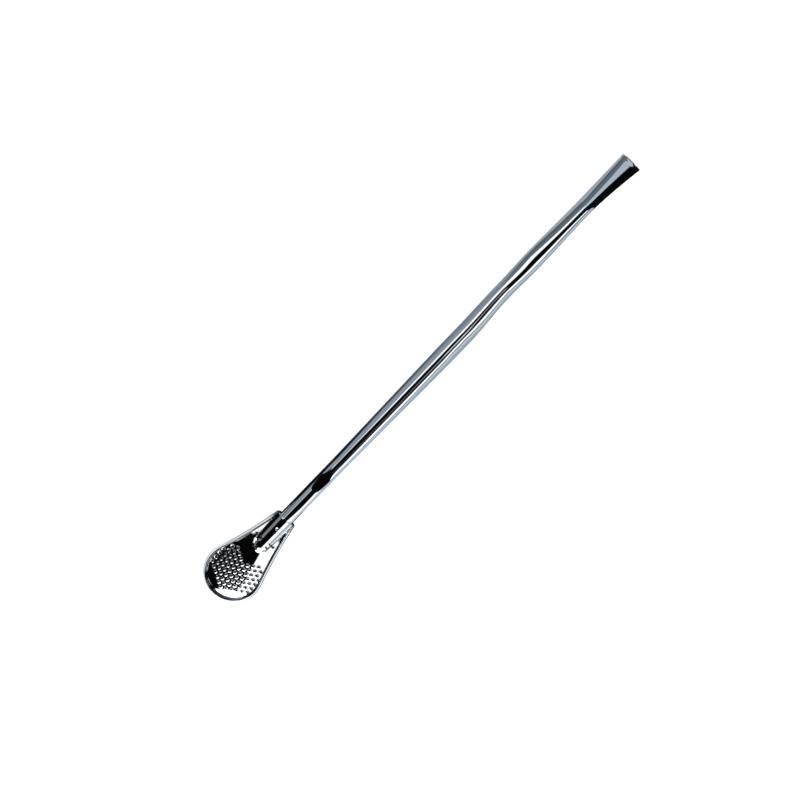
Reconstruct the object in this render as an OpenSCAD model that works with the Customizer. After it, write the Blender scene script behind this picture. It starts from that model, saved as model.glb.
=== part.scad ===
// Bombilla: a steel drinking straw for mate, with a spoon-shaped strainer head.
// The straw lies along X with its lip at +X. The perforated face is up (+Z),
// and the flat back of the head and the underside of the lip rest on z = 0.

/* [Overall] */
// Length from the round end of the head to the lip
overall_length = 240; // [220:1:270]
// Height of the straw's axis above the flat back of the head
bowl_depth = 5.6; // [5.2:0.1:7]

/* [Straw tube] */
// Outside diameter of the straight upper tube
tube_d = 7.94; // [7.2:0.01:9]
// Outside diameter of the stem that plugs into the head
stem_d = 6.35; // [5.8:0.01:6.6]
// Wall of the tube
tube_wall = 0.5; // [0.4:0.05:0.7]
// Length of the straight stem, measured from its plugged end
stem_length = 42; // [30:1:50]
// Length of the taper between the stem and the upper tube
taper_length = 60; // [40:1:68]
// Depth that the stem plugs into the neck of the head
plug_depth = 10.3; // [9:0.1:11]

/* [Mouthpiece] */
// Length of the formed mouthpiece
mouth_length = 94; // [90:1:100]
// Distance of the waist from the lip
waist_from_lip = 69; // [62:1:76]
// Width of the waist
waist_w = 7.06; // [6.6:0.01:8]
// Thickness of the waist
waist_h = 7.2; // [6.6:0.1:8]
// Distance of the swell from the lip
swell_from_lip = 53; // [46:1:58]
// Width of the swell
swell_w = 7.7; // [7:0.1:9]
// Thickness of the swell
swell_h = 6.6; // [6:0.1:8]
// Distance of the throat from the lip
throat_from_lip = 25; // [18:1:35]
// Width of the throat
throat_w = 6.7; // [6:0.1:8]
// Thickness of the throat
throat_h = 6.6; // [5.5:0.1:8]
// Width of the lip
lip_w = 9.1; // [8:0.1:11]
// Thickness of the lip
lip_h = 4.2; // [3.4:0.1:6]
// Height of the rolled bead round the lip
lip_bead = 0.2; // [0.1:0.05:0.4]
// Length of the rolled bead
lip_length = 1.7; // [1.2:0.1:2.5]
// How full the corners of the lip are, where 2 is an ellipse
lip_fullness = 2.3; // [2:0.1:3]
// Sideways sway of the mouthpiece between waist and throat
mouth_sway = 0.8; // [0:0.05:1.5]
// Sideways sway of the lip, the other way
lip_sway = 0.4; // [0:0.05:1]

/* [Strainer head] */
// Width of the head across its bowl
head_width = 25; // [23:0.5:28]
// Length of the head, from its round end to the mouth of its neck
head_length = 44.35; // [42:0.05:48]
// Width of the head at the mouth of its neck
neck_width = 9.5; // [9.4:0.1:10.5]
// Radius of the hollow sides between bowl and neck
side_radius = 200; // [150:5:300]
// Thickness of the pressed sheet
sheet = 0.5; // [0.4:0.05:0.6]
// How much the bowl is pressed flat on its back
flat_depth = 0.6; // [0.4:0.05:0.9]
// How full the bowl's section is, where 2 is an ellipse
bowl_fullness = 2.6; // [2.2:0.1:3]

/* [Rim] */
// Width of the edge of the bowl folded over the strainer plate
hem_width = 0.9; // [0.85:0.05:1.2]
// Step by which the rim stands out from the bowl below it
rim_step = 0.3; // [0.2:0.05:0.4]
// Gap between the folded rim and the strainer plate
crimp_gap = 0.05; // [0.03:0.01:0.1]

/* [Strainer plate] */
// Depth of the groove inside the plate's edge
groove_depth = 0.8; // [0.5:0.1:1]
// Width of the groove's outer wall, seen from above
groove_wall = 0.36; // [0.3:0.02:0.6]
// Distance of the groove's corner from the mouth of the neck
groove_setback = 4.4; // [3.5:0.1:6]
// Height of the domed plate above the groove
dome_rise = 2; // [1.2:0.1:2.5]

/* [Neck] */
// Radius of the rounded nose that closes the sleeve
nose_radius = 3.75; // [3.7:0.05:3.9]
// Distance of the nose's centre from the mouth of the neck
nose_setback = 14.7; // [13.5:0.1:16]
// Length of the bush that holds the stem
bush_length = 7; // [6:0.5:8]
// How far the bush sits inside the mouth of the neck
bush_recess = 0.5; // [0.2:0.1:0.8]
// Gap all round the stem in the bush
socket_clearance = 0.05; // [0.02:0.01:0.08]
// Distance of the punched dimple from the mouth of the neck
dimple_setback = 5.05; // [4:0.05:7]
// Radius of the punch that makes the dimple
dimple_radius = 1.2; // [0.8:0.1:2]
// Depth of the dimple
dimple_depth = 0.25; // [0.1:0.05:0.35]

/* [Holes] */
// Diameter of the strainer holes
hole_d = 1; // [0.8:0.05:1.2]
// Distance between neighbouring holes
hole_pitch = 2.24; // [2:0.02:2.6]
// Distance of the first hole of the middle column from the bowl's centre, towards the neck
hole_start = 5.8; // [4.5:0.1:7]
// Holes in a full column
holes_per_column = 7; // [5:1:8]
// Columns on each side of the middle one
side_columns = 5; // [3:1:6]
// Distance of the field's front edge from the bowl's centre, towards the neck
hole_limit = 9.3; // [7:0.1:11]
// Metal left between a hole and the groove
hole_margin = 0.02; // [0.01:0.01:0.6]
// Radius of the perforated field on the back
back_field_r = 6.2; // [4:0.1:6.5]
// Angle round the nose between its front hole and the ones beside it
nose_hole_spread = 63; // [50:1:75]
// Tilt of the nose holes above the plate
nose_hole_tilt = 48; // [40:1:55]
// Sideways angle of the holes on the sleeve's shoulders
shoulder_hole_tilt = 37; // [30:1:45]
// Distance of the first shoulder holes from the nose's centre
shoulder_start = 0.85; // [0.5:0.05:1.5]
// Distance between the shoulder holes
shoulder_pitch = 2; // [1.8:0.1:2.4]
// Distance of the holes at the sleeve's foot from the nose's centre
foot_hole_start = 2.05; // [1:0.05:3]
// Metal left between the sleeve and the holes at its foot
foot_hole_margin = 0.05; // [0.02:0.01:0.3]

/* [Hidden] */
$fn = 96;
steel = [0.80, 0.82, 0.84];
strainer_steel = [0.72, 0.75, 0.78];
bowl_steel = [0.66, 0.69, 0.73];
bush_steel = [0.58, 0.60, 0.63];

// Numbers of points along the curves
bowl_steps = 40;
side_steps = 9;
section_steps = 24;
end_steps = 9;
neck_steps = 13;
nose_steps = 10;
dome_rings = 7;
mouth_sides = 40;
mouth_rings = 24;
lip_rings = 6;

// A cut reaches this far past what it cuts
past = 1;
// The faceted mouthpiece laps the round tube, slightly outside it and inside it
seam_lap = 0.5;
seam_outside = 0.03;
seam_inside = 0.08;
// Growth of the flare towards the lip, and of the bend down to the table
flare_power = 1.5;
bend_power = 1.6;
// Where the bowl's depth starts to rise and has risen, from the bowl's centre and the neck's mouth
rise_start = 3;
rise_end = 5;
// The bowl's first section stands this many degrees in from its tip
tip_angle = 6;
// A section of the bowl is at least this deep
least_depth = 0.05;
// Half the width of a ring of the dome where it ends, and the radius of the dome's flat middle
ring_tip = 0.4;
dome_core = 1;

axis_z = bowl_depth;
end_x = -overall_length / 2;
lip_x = overall_length / 2;
neck_x = end_x + head_length;
bowl_r = head_width / 2;
bowl_x = end_x + bowl_r;
neck_r = neck_width / 2;
stem_r = stem_d / 2;
tube_r = tube_d / 2;
stem_x = neck_x - plug_depth;
mouth_x = lip_x - mouth_length;
lip_drop = axis_z - lip_h / 2 - lip_bead;

// Edge of the strainer plate inside the rim, and the groove that runs inside that edge
plate_inset = sheet + crimp_gap;
wall_inset = rim_step + sheet;
slope_top = hem_width + 2 * crimp_gap;
slope_foot = slope_top + groove_wall;
slope_angle = atan2(groove_depth, groove_wall);
under_shift = min(sheet * tan(slope_angle / 2), slope_top - wall_inset - crimp_gap);
plate_top = axis_z + sheet;
groove_top = plate_top - groove_depth;
groove_under = groove_top - sheet;
rim_top = plate_top + sheet;
rim_foot = axis_z - sheet;
groove_x = neck_x - groove_setback;

// Sleeve round the stem: a shallow cone that ends in a round nose
sleeve_r = neck_r - plate_inset;
sleeve_slope = (sleeve_r - nose_radius) / nose_setback;
nose_x = neck_x - nose_setback;
socket_r = stem_r + socket_clearance;
dimple_x = neck_x - dimple_setback;

// Centre of the hollow side's arc, which touches the bowl's circle and passes the neck's corner
reach = norm([neck_x - bowl_x, neck_r]);
along_reach = (pow(bowl_r + side_radius, 2) - pow(side_radius, 2) + reach * reach) / (2 * reach);
off_reach = sqrt(pow(bowl_r + side_radius, 2) - along_reach * along_reach);
reach_dir = [neck_x - bowl_x, neck_r] / reach;
side_x = bowl_x + along_reach * reach_dir.x - off_reach * reach_dir.y;
side_y = along_reach * reach_dir.y + off_reach * reach_dir.x;
touch_angle = atan2(side_y, side_x - bowl_x);

function ease(t) = (1 - cos(180 * min(1, max(0, t)))) / 2;
function between(a, b, t) = a + (b - a) * t;
function signed_power(v, p) = sign(v) * pow(abs(v), p);

// Half the head's width at x, with the outline drawn in by inset
function half_width(x, inset) =
    x < bowl_x + (bowl_r - inset) * cos(touch_angle)
        ? sqrt(max(0, pow(bowl_r - inset, 2) - pow(x - bowl_x, 2)))
        : side_y - sqrt(pow(side_radius + inset, 2) - pow(x - side_x, 2));

// One side of the outline, from the neck at last_x to the bowl's circle
function side_points(inset, last_x) =
    let (r = side_radius + inset, first = -acos((last_x - side_x) / r), last = touch_angle - 180)
    [for (i = [0 : side_steps - 1])
        let (a = between(first, last, i / side_steps)) [side_x + r * cos(a), side_y + r * sin(a)]];

function bowl_points(inset) =
    [for (i = [0 : bowl_steps])
        let (a = between(touch_angle, 360 - touch_angle, i / bowl_steps))
        [bowl_x + (bowl_r - inset) * cos(a), (bowl_r - inset) * sin(a)]];

// Outline of the head, drawn in by inset and cut off at last_x
function outline(inset, last_x) =
    let (left = side_points(inset, last_x))
    concat(left, bowl_points(inset), [for (i = [side_steps - 1 : -1 : 0]) [left[i].x, -left[i].y]]);

function at_height(points, z) = [for (p = points) [p.x, p.y, z]];

// Faces between rings of n points, with two end caps, or joined end to end when looped
function band_faces(rings, n, looped) =
    [for (i = [0 : rings - (looped ? 1 : 2)], j = [0 : n - 1], half = [0, 1])
        let (a = i * n, b = ((i + 1) % rings) * n, k = (j + 1) % n)
        half == 0 ? [a + j, b + j, b + k] : [a + j, b + k, a + k]];

function cap_faces(rings, n) =
    [[for (j = [0 : n - 1]) j], [for (j = [n - 1 : -1 : 0]) (rings - 1) * n + j]];

module loft(rings, looped = false) {
    n = len(rings[0]);
    bands = band_faces(len(rings), n, looped);
    polyhedron(
        points = [for (ring = rings) each ring],
        faces = looped ? bands : concat(bands, cap_faces(len(rings), n)),
        convexity = 6
    );
}

// Turns a shape drawn along Z so that it lies along +X on the straw's axis, starting at x
module along_axis(x) {
    translate([x, 0, axis_z]) rotate([0, 90, 0]) children();
}

// Values of the mouthpiece at the distance s from its start
waist_s = mouth_length - waist_from_lip;
swell_s = mouth_length - swell_from_lip;
throat_s = mouth_length - throat_from_lip;

function along_mouth(s, start, waist, swell, throat, lip) =
    s < waist_s ? between(start, waist, ease(s / waist_s))
    : s < swell_s ? between(waist, swell, ease((s - waist_s) / (swell_s - waist_s)))
    : s < throat_s ? between(swell, throat, ease((s - swell_s) / (throat_s - swell_s)))
    : between(throat, lip, pow((s - throat_s) / throat_from_lip, flare_power));

function mouth_bead(s) =
    let (u = (s - mouth_length + lip_length / 2) / (lip_length / 2))
    lip_bead * sqrt(max(0, 1 - u * u));

function mouth_drop(s) = lip_drop * pow(max(0, s - waist_s) / waist_from_lip, bend_power);

function mouth_ring(s, offset) =
    let (
        w = along_mouth(s, tube_d, waist_w, swell_w, throat_w, lip_w) / 2 + offset,
        h = along_mouth(s, tube_d, waist_h, swell_h, throat_h, lip_h) / 2 + offset,
        y = along_mouth(s, 0, mouth_sway, mouth_sway, mouth_sway, -lip_sway),
        power = 2 / along_mouth(s, 2, 2, 2, 2, lip_fullness)
    )
    [for (j = [0 : mouth_sides - 1])
        let (a = 360 * j / mouth_sides)
        [mouth_x + s, y + w * signed_power(cos(a), power),
            axis_z - mouth_drop(s) + h * signed_power(sin(a), power)]];

mouth_stations = concat(
    [-seam_lap],
    [for (i = [1 : mouth_rings]) (mouth_length - lip_length) * i / mouth_rings],
    [for (i = [1 : lip_rings]) mouth_length - lip_length / 2 * (1 + cos(180 * i / lip_rings))]
);

module mouthpiece() {
    last = len(mouth_stations) - 1;
    outer = [for (i = [1 : last]) mouth_ring(mouth_stations[i], mouth_bead(mouth_stations[i]))];
    inner = [for (i = [last : -1 : 1]) mouth_ring(mouth_stations[i], -tube_wall)];
    lap_outer = mouth_ring(mouth_stations[0], seam_outside);
    lap_inner = mouth_ring(mouth_stations[0], -tube_wall - seam_inside);
    loft(concat([lap_outer], outer, inner, [lap_inner]), looped = true);
}

module round_tube() {
    taper_start = stem_length;
    taper_end = stem_length + taper_length;
    top = mouth_x - stem_x;
    along_axis(stem_x)
        rotate_extrude()
            polygon([
                [stem_r - tube_wall, 0], [stem_r, 0], [stem_r, taper_start], [tube_r, taper_end],
                [tube_r, top], [tube_r - tube_wall, top], [tube_r - tube_wall, taper_end],
                [stem_r - tube_wall, taper_start]
            ]);
}

module straw_tube() {
    color(steel)
        union() {
            round_tube();
            mouthpiece();
        }
}

// Solid of the sleeve and its nose, grown by grow, from the nose's tip to past the neck's mouth
module sleeve_form(grow, beyond = 0) {
    nose_r = nose_radius + grow;
    run = nose_setback + beyond;
    mouth_r = nose_r + sleeve_slope * run;
    along_axis(nose_x)
        rotate_extrude()
            polygon(concat(
                [for (i = [0 : nose_steps])
                    let (a = 90 * i / nose_steps) [nose_r * sin(a), -nose_r * cos(a)]],
                [[mouth_r, run], [0, run]]
            ));
}

// Space that the sleeve fills: into the groove's sheet beside the plate, to the seam at the neck
module sleeve_room() {
    foot_z = groove_top - sheet / 2;
    foot_length = groove_x - groove_wall / 2 - end_x;
    translate([end_x, -bowl_r, axis_z]) cube([head_length, head_width, head_width]);
    translate([end_x, -bowl_r, foot_z]) cube([foot_length, head_width, head_width]);
}

// Rings of the domed plate, from the groove to the middle of the bowl
dome_span = bowl_r - dome_core - slope_foot;
dome_insets = [for (i = [0 : dome_rings - 1]) slope_foot + dome_span * i / (dome_rings - 1)];

function dome_height(inset) = dome_rise * (1 - pow(1 - (inset - slope_foot) / (bowl_r - slope_foot), 2));

function ring_end(inset) = min(
    groove_x - (inset - slope_top),
    side_x - sqrt(pow(side_radius + inset, 2) - pow(side_y - ring_tip, 2))
);

function dome_ring(inset, shift, z) =
    at_height(outline(inset - shift, ring_end(inset) + shift), z + dome_height(inset));

module strainer_plate() {
    edge_x = neck_x - plate_inset;
    last = dome_rings - 1;
    loft(concat(
        [for (i = [last : -1 : 1]) dome_ring(dome_insets[i], 0, groove_under)],
        [
            dome_ring(slope_foot, under_shift, groove_under),
            at_height(outline(slope_top - under_shift, groove_x + under_shift), axis_z),
            at_height(outline(plate_inset, edge_x), axis_z),
            at_height(outline(plate_inset, edge_x), plate_top),
            at_height(outline(slope_top, groove_x), plate_top)
        ],
        [for (inset = dome_insets) dome_ring(inset, 0, groove_top)]
    ));
}

// Staggered columns of holes; each column outwards starts half a pitch nearer the neck
column_gap = hole_pitch * sin(60);
hole_places = [for (k = [-side_columns : side_columns], i = [0 : holes_per_column - 1])
    [bowl_x + hole_start + (abs(k) / 2 - i) * hole_pitch, k * column_gap]];

function on_plate(p) =
    abs(p.y) + hole_d / 2 + hole_margin + slope_foot < half_width(p.x, 0) && p.x < bowl_x + hole_limit;
function on_back(p) = norm([p.x - bowl_x, p.y]) < back_field_r;

module drill(p, low, high) {
    translate([p.x, p.y, low]) cylinder(d = hole_d, h = high - low);
}

module plate_holes() {
    for (p = hole_places)
        if (on_plate(p)) drill(p, groove_under - past, groove_top + dome_rise + past);
}

module back_holes() {
    for (p = hole_places)
        if (on_back(p)) drill(p, -past, sheet + past);
}

// A hole across the sleeve's wall, square to it; drawn along Z
module wall_drill() {
    from = nose_radius - sheet - past / 2;
    translate([0, 0, from]) cylinder(d = hole_d, h = nose_radius + past - from);
}

module nose_holes() {
    foot_y = nose_radius + sleeve_slope * foot_hole_start + foot_hole_margin + hole_d / 2;
    for (a = [-nose_hole_spread, 0, nose_hole_spread])
        translate([nose_x, 0, axis_z]) rotate([0, nose_hole_tilt - 90, a]) wall_drill();
    for (side = [-1, 1], row = [0, 1])
        translate([nose_x + shoulder_start + row * shoulder_pitch, 0, axis_z])
            rotate([side * shoulder_hole_tilt, 0, 0]) wall_drill();
    for (side = [-1, 1])
        drill([nose_x + foot_hole_start, side * foot_y], groove_under - past, plate_top + past);
}

module sleeve_dimple() {
    top_z = axis_z + sleeve_r - sleeve_slope * dimple_setback;
    translate([dimple_x, 0, top_z + dimple_radius - dimple_depth]) sphere(r = dimple_radius);
}

module front_strainer() {
    color(strainer_steel)
        difference() {
            union() {
                strainer_plate();
                intersection() {
                    sleeve_form(0);
                    sleeve_room();
                }
            }
            sleeve_form(-sheet, past);
            plate_holes();
            nose_holes();
            sleeve_dimple();
        }
}

// Depth of the bowl below the seam at x, and how full its section is there
function rise(x) = ease((x - bowl_x - rise_start) / (neck_x - rise_end - bowl_x - rise_start));

function depth_at(x, inset, grow) =
    let (
        u = min(1, max(0, bowl_x - x) / (bowl_r - inset)),
        round_end = pow(1 - pow(u, bowl_fullness), 1 / bowl_fullness)
    )
    between(bowl_depth + flat_depth, sleeve_r, rise(x)) * round_end - grow;

function bowl_section(x, inset, grow, lift) =
    let (
        w = half_width(x, inset),
        d = max(least_depth, depth_at(x, inset, grow)),
        power = 2 / between(bowl_fullness, 2, rise(x))
    )
    concat(
        [[x, -w, axis_z + lift]],
        [for (i = [0 : section_steps])
            let (a = 180 * i / section_steps)
            [x, -w * signed_power(cos(a), power), axis_z - d * pow(sin(a), power)]],
        [[x, w, axis_z + lift]]
    );

function bowl_stations(inset, last_x) =
    let (r = bowl_r - inset)
    concat(
        [for (i = [0 : end_steps]) bowl_x - r * cos(between(tip_angle, 90, i / end_steps))],
        [for (i = [1 : neck_steps]) between(bowl_x, last_x, i / neck_steps)]
    );

// Half of a spoon: its outline drawn in by inset, its depth less grow, cut flat at floor_z
module spoon_form(inset, grow, floor_z, lift, last_x) {
    intersection() {
        loft([for (x = bowl_stations(inset, last_x)) bowl_section(x, inset, grow, lift)]);
        translate([end_x, -bowl_r, floor_z]) cube([head_length + past, head_width, head_width]);
    }
}

module rim_ring(width, low, high) {
    translate([0, 0, low])
        linear_extrude(height = high - low)
            difference() {
                polygon(outline(0, neck_x));
                polygon(outline(width, neck_x + past));
            }
}

// The edge of the bowl: a wall round the plate and a lip folded over it, clear of the sleeve
module folded_rim() {
    difference() {
        union() {
            rim_ring(sheet, rim_foot, rim_top);
            rim_ring(hem_width, plate_top, rim_top);
        }
        intersection() {
            sleeve_form(crimp_gap, past);
            translate([end_x, -bowl_r, axis_z]) cube([head_length + past, head_width, head_width]);
        }
    }
}

module back_bowl() {
    color(bowl_steel)
        difference() {
            union() {
                spoon_form(rim_step, 0, 0, 0, neck_x);
                folded_rim();
            }
            spoon_form(wall_inset, sheet, sheet, past, neck_x + past);
            back_holes();
        }
}

module neck_bush() {
    face_r = sleeve_r - sheet - crimp_gap - sleeve_slope * bush_recess;
    color(bush_steel)
        along_axis(neck_x - bush_recess - bush_length)
            difference() {
                cylinder(r1 = face_r - sleeve_slope * bush_length, r2 = face_r, h = bush_length);
                translate([0, 0, -past]) cylinder(r = socket_r, h = bush_length + 2 * past);
            }
}

straw_tube();
front_strainer();
back_bowl();
neck_bush();
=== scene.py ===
import math

import bpy
import numpy as np
from mathutils import Matrix, Vector
from mathutils.geometry import delaunay_2d_cdt


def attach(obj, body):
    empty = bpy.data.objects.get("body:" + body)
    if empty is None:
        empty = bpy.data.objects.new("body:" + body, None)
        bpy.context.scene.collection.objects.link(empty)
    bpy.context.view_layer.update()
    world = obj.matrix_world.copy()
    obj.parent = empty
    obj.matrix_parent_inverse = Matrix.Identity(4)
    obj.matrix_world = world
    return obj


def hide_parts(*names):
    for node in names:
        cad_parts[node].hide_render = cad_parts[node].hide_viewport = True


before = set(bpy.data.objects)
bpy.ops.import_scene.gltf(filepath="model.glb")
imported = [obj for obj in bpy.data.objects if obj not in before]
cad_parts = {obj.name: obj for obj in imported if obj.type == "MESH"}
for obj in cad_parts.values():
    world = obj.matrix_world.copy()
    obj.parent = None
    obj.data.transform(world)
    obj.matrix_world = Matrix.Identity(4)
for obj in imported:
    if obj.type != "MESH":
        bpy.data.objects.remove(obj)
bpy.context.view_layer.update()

# Metres in a millimetre: the sizes below are in millimetres, as in the part's source
MM = 0.001

# Overall
OVERALL_LENGTH = 240.0
END_X, LIP_X = -OVERALL_LENGTH / 2, OVERALL_LENGTH / 2
BOWL_DEPTH = 5.6
AXIS_Z = BOWL_DEPTH

# Straw tube
STEM_R, TUBE_R, WALL = 3.175, 3.97, 0.5
STEM_LENGTH, TAPER_LENGTH, PLUG_DEPTH = 42.0, 60.0, 10.3

# Mouthpiece, with its measures at its start, waist, swell, throat and lip
MOUTH_LENGTH, WAIST_FROM_LIP, SWELL_FROM_LIP, THROAT_FROM_LIP = 94.0, 69.0, 53.0, 25.0
MOUTH_WIDTHS = (2 * TUBE_R, 7.06, 7.7, 6.7, 9.1)
MOUTH_HEIGHTS = (2 * TUBE_R, 7.2, 6.6, 6.6, 4.2)
MOUTH_SWAYS = (0.0, 0.8, 0.8, 0.8, -0.4)
MOUTH_FULLNESS = (2.0, 2.0, 2.0, 2.0, 2.3)
FLARE_POWER, BEND_POWER = 1.5, 1.6
LIP_BEAD, LIP_LENGTH, LIP_ROLL, LIP_DROP = 0.06, 1.7, 0.35, 3.3
MOUTH_X = LIP_X - MOUTH_LENGTH
WAIST_S, SWELL_S = MOUTH_LENGTH - WAIST_FROM_LIP, MOUTH_LENGTH - SWELL_FROM_LIP
THROAT_S = MOUTH_LENGTH - THROAT_FROM_LIP

# Strainer head
HEAD_LENGTH, BOWL_R, NECK_R, SIDE_R = 44.35, 12.5, 4.75, 200.0
FLAT_DEPTH, FULLNESS = 0.6, 2.6
SHEET, CRIMP, HEM, RIM_STEP = 0.5, 0.05, 0.9, 0.3
BOWL_X, NECK_X = END_X + BOWL_R, END_X + HEAD_LENGTH
STEM_X = NECK_X - PLUG_DEPTH
TAPER_START = STEM_X + STEM_LENGTH
RISE_START, RISE_END = BOWL_X + 3, NECK_X - 5

# Strainer plate, whose groove has a steeper wall than in the source
GROOVE_DEPTH, GROOVE_WALL, STEEP_WALL, GROOVE_SETBACK = 0.8, 0.36, 0.22, 4.4
DOME_RISE = 2.0
PLATE_INSET = SHEET + CRIMP
PLATE_TOP = AXIS_Z + SHEET
SLOPE_TOP = HEM + 2 * CRIMP
SLOPE_FOOT = SLOPE_TOP + GROOVE_WALL
GROOVE_TOP = PLATE_TOP - GROOVE_DEPTH
GROOVE_X = NECK_X - GROOVE_SETBACK

# Sleeve over the stem, with its nose and dimple, and the bush in it
NOSE_R, NOSE_SETBACK = 3.75, 14.7
DIMPLE_SETBACK, DIMPLE_R, DIMPLE_DEPTH = 5.05, 1.2, 0.25
BUSH_LENGTH, BUSH_RECESS, BUSH_BEVEL, SOCKET_CLEARANCE = 7.0, 0.5, 0.15, 0.05
NOSE_X, DIMPLE_X = NECK_X - NOSE_SETBACK, NECK_X - DIMPLE_SETBACK
SLEEVE_R = NECK_R - PLATE_INSET
SLEEVE_SLOPE = (SLEEVE_R - NOSE_R) / NOSE_SETBACK
SOCKET_R = STEM_R + SOCKET_CLEARANCE

# Widths over which one form runs into the next
SLEEVE_FILLET, DIMPLE_FILLET, BACK_FILLET = 0.4, 0.06, 0.12
# How fast the sleeve's height falls away beside it
SLEEVE_FALL = 12

# Holes
HOLE_R, PITCH, HOLE_START, HOLE_LIMIT, HOLE_MARGIN = 0.5, 2.24, 5.8, 9.3, 0.02
HOLES_PER_COLUMN, SIDE_COLUMNS = 7, 5
BACK_FIELD = 6.2
NOSE_HOLE_SPREAD, NOSE_HOLE_TILT = math.radians(63), math.radians(48)
SHOULDER_TILT, SHOULDER_START, SHOULDER_PITCH = math.radians(37), 0.85, 2.0
FOOT_HOLE_START, FOOT_HOLE_MARGIN = 2.05, 0.05

# Raised rim round a hole: radii of its crest and foot, its rounded inner edge, and its heights
RIM_PEAK, RIM_OUT = 0.55, 0.93
RIM_ROUND_WIDTH, RIM_ROUND_DROP = RIM_PEAK - HOLE_R + 0.02, 0.14
PLATE_RIM, SLEEVE_RIM, FOOT_RIM = 0.13, 0.1, 0.05

# Folded edge of the bowl: insets from the head's outline and heights above the fold's foot
FOLD_Z = AXIS_Z - SHEET
FOLD_FOOT = [(RIM_STEP, 0.0), (0.03, 0.0), (0.0, 0.04), (0.012, 0.08), (0.03, 0.14)]
FOLD_LOWER_FLANK = [(0.04, 0.17), (0.3, 0.74)]
FOLD_BEND = [(0.335, 0.805)]
FOLD_UPPER_FLANK = [(0.36, 0.84), (0.66, 1.24)]
FOLD_CREST = [(0.72, 1.31), (0.78, 1.37), (0.84, 1.41), (0.88, 1.42), (HEM, 1.39)]
FOLD_INSIDE = [(HEM, 1.2), (HEM, 1.02), (SHEET + 0.01, 1.0), (SHEET, 0.3)]

# Steps of the meshes
TUBE_SIDES, BUSH_SIDES, HOLE_SIDES, BACK_HOLE_SIDES = 128, 96, 40, 20
FLANK_STEPS = 5
BOWL_STEPS = (80, 200)
PLATE_STEPS = (90, 220)
NORMAL_STEP = 0.004
# Rows of points on the plate: insets along its edge, radii round a hole, shares of the sleeve's radius
EDGE_ROWS = (0.8, 1.0, 1.04, 1.08, 1.12, 1.16, 1.22, 1.36, 1.5, 1.75)
HOLE_ROWS = (0.518, 0.535, 0.56, 0.6, 0.66, 0.73, 0.8, 0.87, 0.935)
SLEEVE_ROWS = (0.86, 0.91, 0.95, 0.975, 0.99, 1.0, 1.008, 1.02, 1.045, 1.08)
# Rows of points on the bowl, inward from its edge
BOWL_ROWS = RIM_STEP + np.array([
    0, 0.0004, 0.002, 0.006, 0.014, 0.03, 0.055, 0.09, 0.14, 0.21,
    0.3, 0.42, 0.57, 0.75, 0.95, 1.2, 1.5, 1.85, 2.25, 2.7])

# Centre of the hollow side's arc
reach = math.hypot(NECK_X - BOWL_X, NECK_R)
along = ((BOWL_R + SIDE_R) ** 2 - SIDE_R ** 2 + reach ** 2) / (2 * reach)
off = math.sqrt((BOWL_R + SIDE_R) ** 2 - along ** 2)
ux, uy = (NECK_X - BOWL_X) / reach, NECK_R / reach
SIDE_X = BOWL_X + along * ux - off * uy
SIDE_Y = along * uy + off * ux
TOUCH = math.atan2(SIDE_Y, SIDE_X - BOWL_X)


# Curves
def ease(t):
    return (1 - np.cos(np.pi * np.clip(t, 0, 1))) / 2


def between(a, b, t):
    return a + (b - a) * t


def signed_power(v, p):
    return np.sign(v) * np.abs(v) ** p


def smooth_max(a, b, k):
    h = np.maximum(k - np.abs(a - b), 0) / k
    return np.maximum(a, b) + h * h * k / 4


def inset_of(x, y):
    """Distance of a point inside the head's outline."""
    x, y = np.asarray(x, float), np.abs(np.asarray(y, float))
    angle = np.arctan2(y, x - BOWL_X)
    in_bowl = BOWL_R - np.hypot(x - BOWL_X, y)
    at_side = np.hypot(x - SIDE_X, y - SIDE_Y) - SIDE_R
    return np.where(angle >= TOUCH, in_bowl, at_side)


def half_width(x, inset):
    """Half the width of the head's outline at x, drawn in by inset."""
    x = np.asarray(x, float)
    r = BOWL_R - inset
    in_bowl = np.sqrt(np.maximum(0, r ** 2 - (x - BOWL_X) ** 2))
    at_side = SIDE_Y - np.sqrt((SIDE_R + inset) ** 2 - (x - SIDE_X) ** 2)
    return np.where(x < BOWL_X + r * math.cos(TOUCH), in_bowl, at_side)


def outline(inset, last_x, side_steps=60, bowl_steps=150):
    """The head's outline drawn in by inset, from the neck round the bowl and back, as points."""
    r = SIDE_R + inset
    first, last = -math.acos((last_x - SIDE_X) / r), TOUCH - math.pi
    a = np.linspace(first, last, side_steps, endpoint=False)
    side = np.stack([SIDE_X + r * np.cos(a), SIDE_Y + r * np.sin(a)], axis=1)
    b = np.linspace(TOUCH, 2 * math.pi - TOUCH, bowl_steps)
    bowl = np.stack([BOWL_X + (BOWL_R - inset) * np.cos(b), (BOWL_R - inset) * np.sin(b)], axis=1)
    return np.concatenate([side, bowl, side[::-1] * [1, -1]])


def sleeve_radius(x):
    return NOSE_R + SLEEVE_SLOPE * np.maximum(x - NOSE_X, 0)


# Meshes
def make_object(name, verts, faces, material, corner_normals=None, sharp=35):
    mesh = bpy.data.meshes.new(name)
    mesh.from_pydata([tuple(v) for v in np.asarray(verts) * MM], [], faces)
    mesh.validate()
    mesh.update()
    mesh.polygons.foreach_set("use_smooth", [True] * len(mesh.polygons))
    if corner_normals is None:
        mesh.set_sharp_from_angle(angle=math.radians(sharp))
    else:
        mesh.normals_split_custom_set([tuple(n) for n in corner_normals])
    mesh.materials.append(material)
    obj = bpy.data.objects.new(name, mesh)
    bpy.context.collection.objects.link(obj)
    return obj


def band(count, n, looped_rings=False, looped_points=True):
    """Quads between rings of n points."""
    faces = []
    for i in range(count if looped_rings else count - 1):
        a, b = i * n, (i + 1) % count * n
        for j in range(n if looped_points else n - 1):
            k = (j + 1) % n
            faces.append((a + j, a + k, b + k, b + j))
    return faces


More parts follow.
